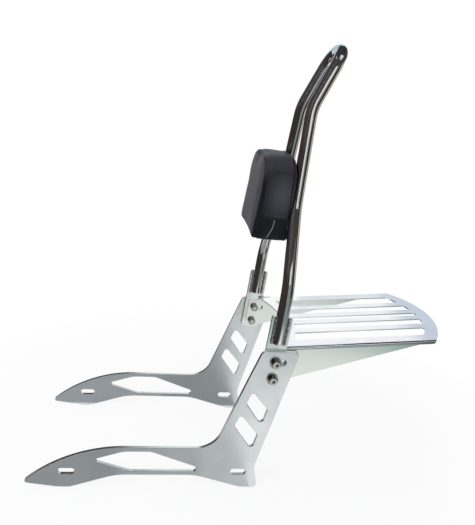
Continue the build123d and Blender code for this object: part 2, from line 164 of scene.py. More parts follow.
@dataclass(frozen=True)
class PlatedMetal(Finish):
    """Plated steel: a mirror or satin skin with cloudy polish, fine lines and slow waves.

    The cloud shifts the tone a little from place to place, the lines draw a reflection out along the
    grain, and the waves bend it as a hand-finished surface does. A folded sheet may have a roughness
    of its own on its sides, and a tone there that is a painted reflection.
    """

    bright: str
    dull: str
    rough: Span
    cloud_mm: float
    wave_mm: float
    wave_strength: float
    line_mm: float = 0.0
    line_strength: float = 0.0
    # Painted reflection: tone given to the sides where the sheet faces left or right.
    side: str = ""
    side_rough: float = 0.0
    tone_span: Span = (0.34, 0.64)
    rough_span: Span = (0.3, 0.7)
    side_span: Span = (0.85, 0.97)
    wave_height: float = 0.5 * MM
    line_height: float = 0.1 * MM
    line_draw: Triple = (0.04, 1.0, 1.0)

    def _shader(self, tree: Tree, place: Socket) -> Node:
        """Add the metal's nodes.

        Args:
            tree: node tree that gets the nodes.
            place: Object coordinates.

        Returns:
            The shader.
        """
        cloud = add_node(
            tree,
            "ShaderNodeTexNoise",
            {"Vector": place, "Scale": per_metre(self.cloud_mm), "Detail": 4.0, "Roughness": 0.6},
        ).outputs["Fac"]
        tones = zip(self.tone_span, (self.dull, self.bright))
        color = add_node(tree, "ShaderNodeValToRGB", {"Fac": cloud}, tones).outputs["Color"]
        rough = add_node(
            tree,
            "ShaderNodeMapRange",
            {
                "Value": cloud,
                "From Min": self.rough_span[0],
                "From Max": self.rough_span[1],
                "To Min": self.rough[1],
                "To Max": self.rough[0],
            },
        ).outputs["Result"]
        wave = add_node(
            tree,
            "ShaderNodeTexNoise",
            {"Vector": place, "Scale": per_metre(self.wave_mm), "Detail": 1.0},
        )
        bump = add_node(
            tree,
            "ShaderNodeBump",
            {
                "Height": wave.outputs["Fac"],
                "Strength": self.wave_strength,
                "Distance": self.wave_height,
            },
        )
        if self.line_mm:
            bump = self._lines(tree, place, bump)
        if self.side:
            color, rough = self._painted_side_tone(tree, color, rough)
        return add_node(
            tree,
            "ShaderNodeBsdfPrincipled",
            {
                "Base Color": color,
                "Metallic": 1.0,
                "Roughness": rough,
                "Normal": bump.outputs["Normal"],
            },
        )

    def _painted_side_tone(self, tree: Tree, color: Socket, rough: Socket) -> tuple[Socket, Socket]:
        """Turn to the side's painted reflection tone and its own roughness where the sheet faces left
        or right.

        Args:
            tree: node tree that gets the nodes.
            color: tone of the rest of the sheet.
            rough: roughness of the rest of the sheet.

        Returns:
            Tone and roughness of the whole sheet.
        """
        surface = add_node(tree, "ShaderNodeNewGeometry")
        normal = add_node(tree, "ShaderNodeSeparateXYZ", {0: surface.outputs["Normal"]})
        aside = add_node(tree, "ShaderNodeMath", {0: normal.outputs["Y"]}, operation="ABSOLUTE")
        share = add_node(
            tree,
            "ShaderNodeMapRange",
            {
                "Value": aside.outputs[0],
                "From Min": self.side_span[0],
                "From Max": self.side_span[1],
            },
        ).outputs["Result"]
        tint = add_node(
            tree,
            "ShaderNodeMixRGB",
            {"Fac": share, "Color1": color, "Color2": linear(self.side)},
        )
        dulled = add_node(
            tree,
            "ShaderNodeMapRange",
            {"Value": share, "To Min": rough, "To Max": self.side_rough},
        )
        return tint.outputs["Color"], dulled.outputs["Result"]

    def _lines(self, tree: Tree, place: Socket, below: Node) -> Node:
        """Add fine polishing lines along X on top of the waves.

        Args:
            tree: node tree that gets the nodes.
            place: Object coordinates.
            below: bump of the waves.

        Returns:
            The bump of both.
        """
        drawn = add_node(tree, "ShaderNodeMapping", {"Vector": place, "Scale": self.line_draw})
        grain = add_node(
            tree,
            "ShaderNodeTexNoise",
            {"Vector": drawn.outputs["Vector"], "Scale": per_metre(self.line_mm), "Detail": 2.0},
        )
        return add_node(
            tree,
            "ShaderNodeBump",
            {
                "Height": grain.outputs["Fac"],
                "Strength": self.line_strength,
                "Distance": self.line_height,
                "Normal": below.outputs["Normal"],
            },
        )


@dataclass(frozen=True)
class WeldMetal(Finish):
    """Plated weld bead: dull silver crests, darker in the hollows between its ripples."""

    name: str = "plated_weld"
    crest: str = "#C6C8C4"
    hollow: str = "#6A6864"
    ripple_mm: float = 2.2
    ripple_span: Span = (0.36, 0.58)
    ripple_strength: float = 0.6
    ripple_height: float = 0.6 * MM
    roughness: float = 0.34

    def _shader(self, tree: Tree, place: Socket) -> Node:
        """Add the bead's nodes.

        Args:
            tree: node tree that gets the nodes.
            place: Object coordinates.

        Returns:
            The shader.
        """
        ripple = add_node(
            tree,
            "ShaderNodeTexNoise",
            {"Vector": place, "Scale": per_metre(self.ripple_mm), "Detail": 3.0},
        ).outputs["Fac"]
        tones = zip(self.ripple_span, (self.hollow, self.crest))
        tone = add_node(tree, "ShaderNodeValToRGB", {"Fac": ripple}, tones)
        bump = add_node(
            tree,
            "ShaderNodeBump",
            {"Height": ripple, "Strength": self.ripple_strength, "Distance": self.ripple_height},
        )
        return add_node(
            tree,
            "ShaderNodeBsdfPrincipled",
            {
                "Base Color": tone.outputs["Color"],
                "Metallic": 1.0,
                "Roughness": self.roughness,
                "Normal": bump.outputs["Normal"],
            },
        )


@dataclass(frozen=True)
class SoftVinyl(Finish):
    """Black upholstery vinyl: embossed with a fine pebble, and drawn greyer with painted sheen where
    it faces the light.

    The pebble of about a millimetre is drawn at twice that, so that it shows in the render. The
    painted sheen, a lighter tone standing in for light and soft reflections on the front, the crown
    and the middle of each side, is read from the attribute that the cover carries.
    """

    name: str = "black_vinyl"
    deep: str = "#17181B"
    # Lighter tone of the painted sheen.
    sheen_tone: str = "#4B4B54"
    pebble_mm: float = 2.2
    pebble_strength: float = 0.1
    pebble_height: float = 0.3 * MM
    roughness: float = 0.46
    gloss: float = 0.28

    def _shader(self, tree: Tree, place: Socket) -> Node:
        """Add the vinyl's nodes.

        Args:
            tree: node tree that gets the nodes.
            place: Object coordinates.

        Returns:
            The shader.
        """
        # Painted sheen: the tone goes lighter where light falls on the cover.
        share = add_node(tree, "ShaderNodeAttribute", attribute_name=PAINTED_SHEEN_ATTRIBUTE).outputs["Fac"]
        tones = ((0.0, self.deep), (1.0, self.sheen_tone))
        tone = add_node(tree, "ShaderNodeValToRGB", {"Fac": share}, tones)
        pebble = add_node(
            tree,
            "ShaderNodeTexVoronoi",
            {"Vector": place, "Scale": per_metre(self.pebble_mm)},
            feature="SMOOTH_F1",
        )
        bump = add_node(
            tree,
            "ShaderNodeBump",
            {
                "Height": pebble.outputs["Distance"],
                "Strength": self.pebble_strength,
                "Distance": self.pebble_height,
            },
            invert=True,
        )
        return add_node(
            tree,
            "ShaderNodeBsdfPrincipled",
            {
                "Base Color": tone.outputs["Color"],
                "Roughness": self.roughness,
                "Specular IOR Level": self.gloss,
                "Normal": bump.outputs["Normal"],
            },
        )


@dataclass(frozen=True)
class GrainedFill(Finish):
    """Matt material with a soft grain, drawn out along one axis where it is wood."""

    light: str
    dark: str
    grain_mm: float
    roughness: float
    draw: Triple = (1.0, 1.0, 1.0)
    grain_span: Span = (0.35, 0.65)
    grain_strength: float = 0.3
    grain_height: float = 0.3 * MM

    def _shader(self, tree: Tree, place: Socket) -> Node:
        """Add the grain's nodes.

        Args:
            tree: node tree that gets the nodes.
            place: Object coordinates.

        Returns:
            The shader.
        """
        drawn = add_node(tree, "ShaderNodeMapping", {"Vector": place, "Scale": self.draw})
        grain = add_node(
            tree,
            "ShaderNodeTexNoise",
            {"Vector": drawn.outputs["Vector"], "Scale": per_metre(self.grain_mm), "Detail": 4.0},
        ).outputs["Fac"]
        tones = zip(self.grain_span, (self.dark, self.light))
        tone = add_node(tree, "ShaderNodeValToRGB", {"Fac": grain}, tones)
        bump = add_node(
            tree,
            "ShaderNodeBump",
            {"Height": grain, "Strength": self.grain_strength, "Distance": self.grain_height},
        )
        return add_node(
            tree,
            "ShaderNodeBsdfPrincipled",
            {
                "Base Color": tone.outputs["Color"],
                "Roughness": self.roughness,
                "Normal": bump.outputs["Normal"],
            },
        )


# Chrome on a polished tube: a clear mirror, so the bar is drawn by hard dark and pale streaks.
BAR_CHROME = PlatedMetal(
    "chrome_tube",
    bright="#DAD9D6",
    dull="#D0CFCC",
    rough=(0.05, 0.08),
    cloud_mm=60.0,
    wave_mm=40.0,
    wave_strength=0.008,
)
# Chrome on rolled sheet: a bright, slightly soft mirror on top and duller flanges with a greenish
# painted reflection tone.
RACK_CHROME = PlatedMetal(
    "bright_rack_sheet",
    bright="#F6F8FB",
    dull="#EEF1F5",
    rough=(0.09, 0.13),
    cloud_mm=60.0,
    wave_mm=60.0,
    wave_strength=0.03,
    # Greenish painted reflection on the flanges.
    side="#E8EEE8",
    side_rough=0.24,
)
# Plated over a ground plate: satin, with broad soft shades instead of an image.
PLATE_SATIN = PlatedMetal(
    "satin_side_plate",
    bright="#E6EAE9",
    dull="#DCE1E1",
    rough=(0.26, 0.33),
    cloud_mm=70.0,
    wave_mm=60.0,
    wave_strength=0.02,
    line_mm=0.9,
    line_strength=0.03,
)
# The same plating on flat bar: a little brighter and more cloudy.
TAB_SATIN = PlatedMetal(
    "satin_tab",
    bright="#EEF4F1",
    dull="#E2E9E6",
    rough=(0.20, 0.30),
    cloud_mm=25.0,
    wave_mm=30.0,
    wave_strength=0.03,
    line_mm=0.9,
    line_strength=0.03,
)
# Turned and plated screw heads: small sharp glints.
BOLT_CHROME = PlatedMetal(
    "bright_bolt",
    bright="#BEBEB8",
    dull="#A9A9A3",
    rough=(0.08, 0.14),
    cloud_mm=8.0,
    wave_mm=8.0,
    wave_strength=0.02,
)
# Forged and plated nuts, their tone painted darker to stand in for the shade and dark reflections
# round them, with softer glints.
NUT_PAINTED_DARK = PlatedMetal(
    "nut_painted_dark",
    bright="#8E8E88",
    dull="#72726D",
    rough=(0.10, 0.18),
    cloud_mm=6.0,
    wave_mm=6.0,
    wave_strength=0.03,
)
# Stamped and plated washers, painted darker into dark rings round the heads as a stand-in for the
# shade and dark reflections there.
WASHER_PAINTED_DARK = PlatedMetal(
    "washer_painted_dark",
    bright="#93938E",
    dull="#787873",
    rough=(0.12, 0.20),
    cloud_mm=6.0,
    wave_mm=6.0,
    wave_strength=0.03,
)
# Zinc on common hardware: a grey, half matt metal.
ZINC_STEEL = PlatedMetal(
    "zinc_hardware",
    bright="#B9B9B3",
    dull="#9A9A94",
    rough=(0.22, 0.34),
    cloud_mm=6.0,
    wave_mm=6.0,
    wave_strength=0.05,
)
# Open-celled foam: matt, yellowish and full of small pores.
PAD_FOAM = GrainedFill("upholstery_foam", "#CFC39A", "#B5A878", grain_mm=1.6, roughness=0.9)
# Birch plywood: a tan face with its grain across the pad.
PAD_BOARD = GrainedFill(
    "birch_plywood", "#C79B68", "#A67B4B", grain_mm=3.0, roughness=0.7, draw=(1.0, 0.08, 1.0)
)
# Twisted nylon thread: a dim grey dash on the vinyl.
THREAD = GrainedFill("grey_thread", "#5A5A5E", "#3A3A3E", grain_mm=0.8, roughness=0.6)
# Pale cord: a painted highlight standing in for light caught along a crease, the one pale line on the
# pad.
HIGHLIGHT_CORD = GrainedFill("painted_highlight_cord", "#9AA6A4", "#74807E", grain_mm=0.9, roughness=0.5)
WELD = WeldMetal()
VINYL = SoftVinyl()


def mesh_object(name: str, build: Build) -> Piece:
    """Turn a bmesh into an object at the origin with smooth faces.

    Args:
        name: name of the piece.
        build: mesh under construction; it is freed.

    Returns:
        The new object.
    """
    data = bpy.data.meshes.new(name)
    build.to_mesh(data)
    build.free()
    data.polygons.foreach_set("use_smooth", [True] * len(data.polygons))
    return linked(name, data)


def linked(name: str, data: bpy.types.ID) -> Piece:
    """Put an object with the given data into the scene.

    Args:
        name: name of the object.
        data: its mesh, curve, lamp or camera.

    Returns:
        The new object.
    """
    made = bpy.data.objects.new(name, data)
    bpy.context.scene.collection.objects.link(made)
    return made


def applied(piece: Piece) -> None:
    """Bake a piece's modifiers into its mesh.

    Args:
        piece: object whose mesh is replaced.
    """
    graph = bpy.context.evaluated_depsgraph_get()
    old = piece.data
    new = bpy.data.meshes.new_from_object(piece.evaluated_get(graph))
    piece.modifiers.clear()
    piece.data = new
    new.name = old.name
    bpy.data.meshes.remove(old)


def voxel_skin(piece: Piece, voxel: float) -> None:
    """Wrap a piece in one even closed skin.

    Args:
        piece: object whose mesh is replaced.
        voxel: size of the skin's cells.
    """
    skin = piece.modifiers.new("skin", "REMESH")
    skin.mode = "VOXEL"
    skin.voxel_size = voxel
    skin.use_smooth_shade = True
    applied(piece)


def finished(piece: Piece, material: Material) -> None:
    """Give a new piece its material and its body.

    Args:
        piece: object that is done.
        material: material of all its faces.
    """
    piece.data.materials.clear()
    piece.data.materials.append(material)
    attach(piece, BODY)


class Dressing:
    """Materials of the solids that are shown as they are."""

    def apply(self) -> None:
        """Assign a finish to every shown solid."""
        plan = (
            (("backrest_bar",), BAR_CHROME),
            (("luggage_rack",), RACK_CHROME),
            (self._pair("side_plate"), PLATE_SATIN),
            ((*self._pair("bar_tab"), "pad_bracket"), TAB_SATIN),
            (self._pair("joint_bolts"), BOLT_CHROME),
            (self._pair("joint_nuts"), NUT_PAINTED_DARK),
            (self._pair("joint_washers"), WASHER_PAINTED_DARK),
            (("pad_screws", "pad_washers", "pad_tee_nuts"), ZINC_STEEL),
            (("pad_bracket_welds",), WELD),
            (("pad_board",), PAD_BOARD),
            (("pad_foam",), PAD_FOAM),
        )
        for names, finish in plan:
            self._dress(names, finish.material())

    def _pair(self, name: str) -> tuple[str, ...]:
        """Names of the left and the right solid of a kind."""
        return tuple(f"{side}_{name}" for side in SIDES)

    def _dress(self, names: Iterable[str], material: Material) -> None:
        """Put one material on some solids.

        Args:
            names: the solids' nodes.
            material: what they get.
        """
        for name in names:
            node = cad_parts[name]
            if not node.material_slots:
                node.data.materials.append(material)
            for slot in node.material_slots:
                slot.material = material
            LOG.info("%s: %s", name, material.name)


@dataclass
class BackPad:
    """Upholstered pad: a boxed vinyl cover with rolled front edges, stitched side panels and a welt.

    It is made on its own axes, which are depth from the back, width to the left and height, and
    set in place when it is done.
    """

    lean: float = math.radians(2.0)
    front_turn: float = math.radians(4.0)
    roll: float = math.radians(2.0)
    back: Vector = Vector((52.97 * MM, 0.0, 485.5 * MM))
    depth: float = 56.0 * MM
    width: float = 150.0 * MM
    height: float = 130.5 * MM
    chin: float = 2.0 * MM
    top_corner: float = 40.0 * MM
    top_steps: int = 8
    bottom_corner: float = 5.0 * MM
    front_edge: float = 5.0 * MM
    front_steps: int = 5
    back_edge: float = 5.0 * MM
    back_steps: int = 3
    sharp: float = math.radians(30.0)
    shrink: float = 0.8 * MM
    voxel: float = 3.2 * MM
    pressure: float = 4.0
    frames: int = 20
    cap: float = 2.4 * MM
    even_steps: int = 14
    held_depth: float = 9.0 * MM
    leg_points: tuple[Triple, ...] = (
        (49.39, 120.0, 353.72),
        (59.51, 60.5, 475.72),
        (71.95, 38.0, 625.72),
    )
    leg_room: float = 11.4 * MM
    roll_depth: float = 48.0 * MM
    seam_height: float = -27.5 * MM
    groove: float = 0.9 * MM
    groove_width: float = 2.6 * MM
    side_facing: float = 0.5
    front_facing: Span = (0.86, 0.96)
    crown_facing: Span = (0.1, 0.9)
    crown_share: float = 0.55
    panel_middle: Span = (20.0 * MM, 6.0 * MM)
    panel_glow: Span = (22.0 * MM, 32.0 * MM)
    welt_depth: float = 6.0 * MM
    welt_radius: float = 0.9 * MM
    welt_stride: int = 3
    stitch_pitch: float = 4.2 * MM
    stitch_length: float = 2.8 * MM
    stitch_radius: float = 0.5 * MM
    # The pale cord is a painted highlight along a crease below the left seam.
    cord_side: int = 1
    cord_points: tuple[Span, ...] = ((27.0, -31.5), (27.6, -40.0), (30.0, -50.0), (35.0, -60.5))
    cord_radius: float = 0.7 * MM
    cord_facets: int = 3

    def place(self) -> Matrix:
        """Matrix from the pad's own axes to the row frame.

        Returns:
            The matrix.
        """
        forward = Vector((-math.cos(self.lean), 0.0, math.sin(self.lean)))
        up = Vector((math.sin(self.lean), 0.0, math.cos(self.lean)))
        left = Vector((0.0, -1.0, 0.0))
        turn = Matrix((forward, left, up)).transposed() @ Matrix.Rotation(-self.roll, 3, "X")
        return Matrix.Translation(self.back) @ turn.to_4x4()

    def build(self) -> list[Piece]:
        """Make the cover, its welt, its stitches and the pale cord below the left seam, which is a
        painted highlight along a crease.

        Returns:
            The pieces, the cover first.
        """
        cover = self._block()
        voxel_skin(cover, self.voxel)
        self._fill(cover)
        smooth = cover.modifiers.new("smooth", "SUBSURF")
        smooth.levels = smooth.render_levels = 1
        applied(cover)
        self._sew(cover)
        skin = VINYL.material()
        pieces = [cover, self._welt(cover), self._stitches(cover), self._highlight_cord(cover)]
        for piece, look in zip(pieces, (skin, skin, THREAD.material(), HIGHLIGHT_CORD.material())):
            piece.data.transform(self.place())
            finished(piece, look)
        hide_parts("pad_cover", "pad_foam")
        return pieces

    def _front(self, height: float) -> float:
        """Depth of the leaning front at a height."""
        return self.depth - math.tan(self.front_turn) * height

    def _seam(self, height: float) -> float:
        """Depth of the seam behind the rolled front edge at a height."""
        return self.roll_depth - math.tan(self.front_turn) * height

    def _block(self) -> Piece:
        """Boxed block a little smaller than the cover, with rounded corners and edges.

        Returns:
            The block, on the pad's own axes.
        """
        half_width = self.width / 2 - self.shrink
        half_height = self.height / 2 - self.shrink
        build = bmesh.new()
        bmesh.ops.create_cube(build, size=2.0)
        for vertex in build.verts:
            high = math.copysign(half_height, vertex.co.z)
            deep = self._front(high) - self.shrink if vertex.co.x > 0 else 0.0
            drop = self.chin if vertex.co.x > 0 and high < 0 else 0.0
            vertex.co = (deep, math.copysign(half_width, vertex.co.y), high - drop)
        far = self.depth / 2
        near = self.back_edge / 2
        rounds = (
            (lambda a, b: abs(a.x - b.x) > far and a.z > 0, self.top_corner, self.top_steps),
            (lambda a, b: abs(a.x - b.x) > far and a.z < 0, self.bottom_corner, self.front_steps),
            (lambda a, b: min(a.x, b.x) > far, self.front_edge, self.front_steps),
            (lambda a, b: max(a.x, b.x) < near, self.back_edge, self.back_steps),
        )
        for wanted, radius, steps in rounds:
            self._round(build, wanted, radius, steps)
        return mesh_object("pad_cover_vinyl", build)

    def _round(
        self, build: Build, wanted: Callable[[Vector, Vector], bool], radius: float, steps: int
    ) -> None:
        """Round the sharp edges that a test picks by their two ends.

        Args:
            build: mesh under construction.
            wanted: test of an edge's two ends.
            radius: radius of the rounding.
            steps: number of faces across it.
        """
        edges = [
            edge
            for edge in build.edges
            if edge.calc_face_angle(0.0) > self.sharp and wanted(edge.verts[0].co, edge.verts[1].co)
        ]
        bmesh.ops.bevel(
            build,
            geom=edges,
            offset=radius,
            segments=steps,
            profile=0.5,
            affect="EDGES",
            material=-1,
        )

    def _fill(self, cover: Piece) -> None:
        """Swell the skin by cloth simulation, held at its board, capped and evened out.

        Args:
            cover: object whose skin swells.
        """
        start = [vertex.co.copy() for vertex in cover.data.vertices]
        held = cover.vertex_groups.new(name="held")
        held.add([i for i, co in enumerate(start) if co.x < self.held_depth], 1.0, "REPLACE")
        cloth = cover.modifiers.new("fill", "CLOTH")
        cloth.settings.use_pressure = True
        cloth.settings.uniform_pressure_force = self.pressure
        cloth.settings.effector_weights.gravity = 0.0
        cloth.settings.vertex_group_mass = "held"
        cloth.point_cache.frame_start = 1
        cloth.point_cache.frame_end = self.frames
        for step in range(1, self.frames + 1):
            bpy.context.scene.frame_set(step)
        applied(cover)
        bpy.context.scene.frame_set(1)
        moves = [vertex.co - co for vertex, co in zip(cover.data.vertices, start)]
        moves = [move.normalized() * min(move.length, self.cap) for move in moves]
        for vertex, co, move in zip(cover.data.vertices, start, self._evened(cover.data, moves)):
            vertex.co = co + move
        cover.vertex_groups.clear()

    def _evened(self, data: bpy.types.Mesh, moves: list[Vector]) -> list[Vector]:
        """Average each move with those of its neighbours, a number of times over.

        Args:
            data: mesh whose edges say which places are neighbours.
            moves: one move for each place.

        Returns:
            The averaged moves.
        """
        rings: list[list[int]] = [[i] for i in range(len(moves))]
        for edge in data.edges:
            first, second = edge.vertices
            rings[first].append(second)
            rings[second].append(first)
        for _ in range(self.even_steps):
            moves = [sum((moves[j] for j in ring), Vector()) / len(ring) for ring in rings]
        return moves

    def _sew(self, cover: Piece) -> None:
        """Press in the seams and the legs' grooves, and note where the vinyl gets its painted sheen.

        Args:
            cover: object whose mesh is pressed.
        """
        build = bmesh.new()
        build.from_mesh(cover.data)
        build.normal_update()
        painted_sheen = build.verts.layers.float.new(PAINTED_SHEEN_ATTRIBUTE)
        for vertex in build.verts:
            own, normal = vertex.co.copy(), vertex.normal.copy()
            # Painted sheen: a lighter share where the cover faces the light.
            vertex[painted_sheen] = self._painted_sheen_share(own, normal)
            press = self._dip(own.x - self._seam(own.z))
            if abs(normal.y) > self.side_facing and own.x < self.roll_depth:
                press = max(press, self._dip(own.z - self.seam_height))
            vertex.co = self._clear_of_legs(own - normal * press * self.groove)
        build.to_mesh(cover.data)
        build.free()

    def _painted_sheen_share(self, own: Vector, normal: Vector) -> float:
        """How far a place gets the painted sheen, a lighter tone standing in for light and
        reflection: the front all over, the crown, the middle of each side.

        Args:
            own: the place on the pad's own axes.
            normal: the way that the skin faces there.

        Returns:
            Share from 0 to 1.
        """
        front = rise(normal.x, self.front_facing)
        front = max(front, self.crown_share * rise(normal.z, self.crown_facing))
        aside = abs(normal.y) >= self.side_facing and own.x <= self._seam(own.z)
        if own.z < self.seam_height or not aside:
            return front
        deep = (own.x - self.panel_middle[0]) / self.panel_glow[0]
        high = (own.z - self.panel_middle[1]) / self.panel_glow[1]
        return max(front, math.exp(-(deep**2) - high**2))

    def _clear_of_legs(self, own: Vector) -> Vector:
        """Move a place on the back out of the legs that press into it.

        Args:
            own: the place on the pad's own axes.

        Returns:
            The place, clear of both legs.
        """
        at = self.place() @ own
        for low, high in zip(self.leg_points, self.leg_points[1:]):
            for side in (-1, 1):
                ends = [Vector((x, side * y, z)) * MM for x, y, z in (low, high)]
                axis, share = intersect_point_line(at, *ends)
                off = at - axis
                if 0.0 <= share <= 1.0 and off.length < self.leg_room:
                    at = axis + off.normalized() * self.leg_room
        return self.place().inverted() @ at

    def _dip(self, distance: float) -> float:
        """Depth share of a groove at a distance from its line."""
        return math.exp(-((distance / self.groove_width) ** 2))

    def _outline(self, cover: Piece, depth: float) -> list[Vector]:
        """Points of the cover's outline at a depth, in order round the pad.

        Args:
            cover: the cover on its own axes.
            depth: where it is cut.

        Returns:
            The points.
        """
        build = bmesh.new()
        build.from_mesh(cover.data)
        geometry = build.verts[:] + build.edges[:] + build.faces[:]
        cut = bmesh.ops.bisect_plane(build, geom=geometry, plane_co=(depth, 0, 0), plane_no=(1, 0, 0))
        found = [part.co.copy() for part in cut["geom_cut"] if isinstance(part, bmesh.types.BMVert)]
        build.free()
        return sorted(found, key=lambda co: math.atan2(co.z, co.y))

    def _tube(self, name: str, points: list[Vector], radius: float, closed: bool) -> Piece:
        """Round cord along a run of points.

        Args:
            name: name of the piece.
            points: places that the cord follows.
            radius: half the cord's thickness.
            closed: whether the cord joins its own start.

        Returns:
            The cord as a mesh object.
        """
        curve = bpy.data.curves.new(name, "CURVE")
        curve.dimensions = "3D"
        curve.bevel_depth = radius
        curve.bevel_resolution = self.cord_facets
        curve.use_fill_caps = not closed
        spline = curve.splines.new("NURBS")
        spline.points.add(len(points) - 1)
        for point, co in zip(spline.points, points):
            point.co = (*co, 1.0)
        spline.use_cyclic_u = closed
        spline.use_endpoint_u = not closed
        spline.order_u = 3
        path = linked(f"{name}_path", curve)
        graph = bpy.context.evaluated_depsgraph_get()
        data = bpy.data.meshes.new_from_object(path.evaluated_get(graph))
        data.name = name
        bpy.data.objects.remove(path)
        return linked(name, data)

    def _welt(self, cover: Piece) -> Piece:
        """Thin round welt that runs round the back edge of the cover."""
        points = self._outline(cover, self.welt_depth)[:: self.welt_stride]
        return self._tube("pad_welt", points, self.welt_radius, True)

    def _on_side(self, surface: BVHTree, depth: float, side: int, height: float) -> Vector | None:
        """Place on the cover's side at a depth and a height."""
        outside = Vector((depth, side * self.width, height))
        return surface.ray_cast(outside, Vector((0.0, -side, 0.0)))[0]

    def _surface(self, cover: Piece) -> BVHTree:
        """Search tree of the cover's skin."""
        return BVHTree.FromObject(cover, bpy.context.evaluated_depsgraph_get())

    def _highlight_cord(self, cover: Piece) -> Piece:
        """Thin pale cord from the cross seam to the bottom edge on the left, a painted highlight
        standing in for light caught along a crease.

        Args:
            cover: the cover on its own axes.

        Returns:
            The cord.
        """
        surface = self._surface(cover)
        hits = [
            self._on_side(surface, depth * MM, self.cord_side, height * MM)
            for depth, height in self.cord_points
        ]
        points = [hit for hit in hits if hit is not None]
        return self._tube("pad_painted_highlight", points, self.cord_radius, False)

    def _stitches(self, cover: Piece) -> Piece:
        """Row of short stitches above the cross seam on each side.

        Args:
            cover: the cover on its own axes.

        Returns:
            The stitches as one piece.
        """
        surface = self._surface(cover)
        build = bmesh.new()
        start = 2 * self.welt_depth
        for side in (-1, 1):
            for index in range(int((self.roll_depth - start) / self.stitch_pitch)):
                depth = start + index * self.stitch_pitch
                hit = self._on_side(surface, depth, side, self.seam_height + self.groove_width)
                if hit is not None:
                    self._stitch(build, hit)
        return mesh_object("pad_stitches", build)

    def _stitch(self, build: Build, at: Vector) -> None:
        """Add one stitch along the depth of the pad.

        Args:
            build: mesh under construction.
            at: middle of the stitch.
        """
        made = bmesh.ops.create_icosphere(build, subdivisions=1, radius=1.0)
        size = Matrix.Diagonal((self.stitch_length / 2, self.stitch_radius, self.stitch_radius, 1.0))
        bmesh.ops.transform(build, matrix=Matrix.Translation(at) @ size, verts=made["verts"])


@dataclass
class TabWelds:
    """Rippled weld beads along the corners between a tube foot and its tab."""

    lean: float = math.radians(4.74)
    foot: Vector = Vector((42.01 * MM, 0.0, 264.62 * MM))
    leg_half: float = 120.0 * MM
    reach: float = 45.3 * MM
    along_tab: float = 10.9 * MM
    off_tab: float = 3.6 * MM
    lump: float = 2.5 * MM
    lump_share: float = 0.92
    lump_sway: float = 0.3
    sway_mm: float = 6.0
    squash: Triple = (1.0, 0.85, 0.7)
    pitch: float = 2.4 * MM
    voxel: float = 0.8 * MM

    def build(self) -> list[Piece]:
        """Make the beads of both feet.

        Returns:
            One piece per foot.
        """
        material = WELD.material()
        pieces = []
        for side, sign in zip(SIDES, (-1, 1)):
            bead = self._beads(f"{side}_weld_beads", sign)
            voxel_skin(bead, self.voxel)
            finished(bead, material)
            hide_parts(f"{side}_tab_welds")
            pieces.append(bead)
        return pieces

    def _beads(self, name: str, sign: int) -> Piece:
        """Chain of overlapping lumps along the four corners of one foot.

        Args:
            name: name of the piece.
            sign: side of the foot, negative on the left.

        Returns:
            The lumps as one piece.
        """
        up = Vector((math.sin(self.lean), 0.0, math.cos(self.lean)))
        rear = Vector((math.cos(self.lean), 0.0, -math.sin(self.lean)))
        start = self.foot + Vector((0.0, sign * self.leg_half, 0.0))
        build = bmesh.new()
        for fore in (-1, 1):
            for out in (-1, 1):
                aside = Vector((0.0, out * self.off_tab, 0.0))
                self._chain(build, start + rear * fore * self.along_tab + aside, up)
        return mesh_object(name, build)

    def _chain(self, build: Build, corner: Vector, up: Vector) -> None:
        """Add the lumps of one bead, each a little different in size.

        Args:
            build: mesh under construction.
            corner: lower end of the bead.
            up: the way that the bead runs.
        """
        squash = Matrix.Diagonal((*self.squash, 1.0))
        for index in range(int(self.reach / self.pitch) + 1):
            at = corner + up * index * self.pitch
            sway = noise.noise(at * per_metre(self.sway_mm))
            radius = self.lump * (self.lump_share + self.lump_sway * sway)
            made = bmesh.ops.create_icosphere(build, subdivisions=2, radius=radius)
            bmesh.ops.transform(build, matrix=Matrix.Translation(at) @ squash, verts=made["verts"])


class Tone(Enum):
    """Colours of the studio's flags, which the polished metal reflects."""

    BROWN = "#403938"
    DARK = "#3A3D40"
    GREY = "#9EA0A4"
    PALE_GREY = "#B3B6B8"
    SILVER = "#CACDCE"
    MID_GREY = "#A6A9AD"
    DEEP_GREY = "#95999C"
    SLATE = "#8FA0A0"
    MOSS = "#5E6663"
    CREAM = "#EDE4C8"
    WHITE = "#FFFFFF"
    BLUE_GREY = "#CDD5E0"
    SKY = "#C6D8E3"
    MIST = "#DFE3E9"
    SHADE = "#4A4548"


@dataclass(frozen=True)
class RingFlag:
    """One upright flag on a ring round the object; bearings run from the front to the right."""

    tone: Tone
    start: float
    end: float
    bottom: float
    top: float


@dataclass(frozen=True)
class WallFlag:
    """One flat upright flag between two places on the floor."""

    tone: Tone
    start: Span
    end: Span
    bottom: float
    top: float


@dataclass(frozen=True)
class LevelFlag:
    """One flag that lies level, just above the floor or overhead."""

    tone: Tone
    low: Span
    high: Span
    lift: float = 0.002


@dataclass(frozen=True)
class Lamp:
    """One large square lamp."""

    name: str
    at: Triple
    size: float
    power: float


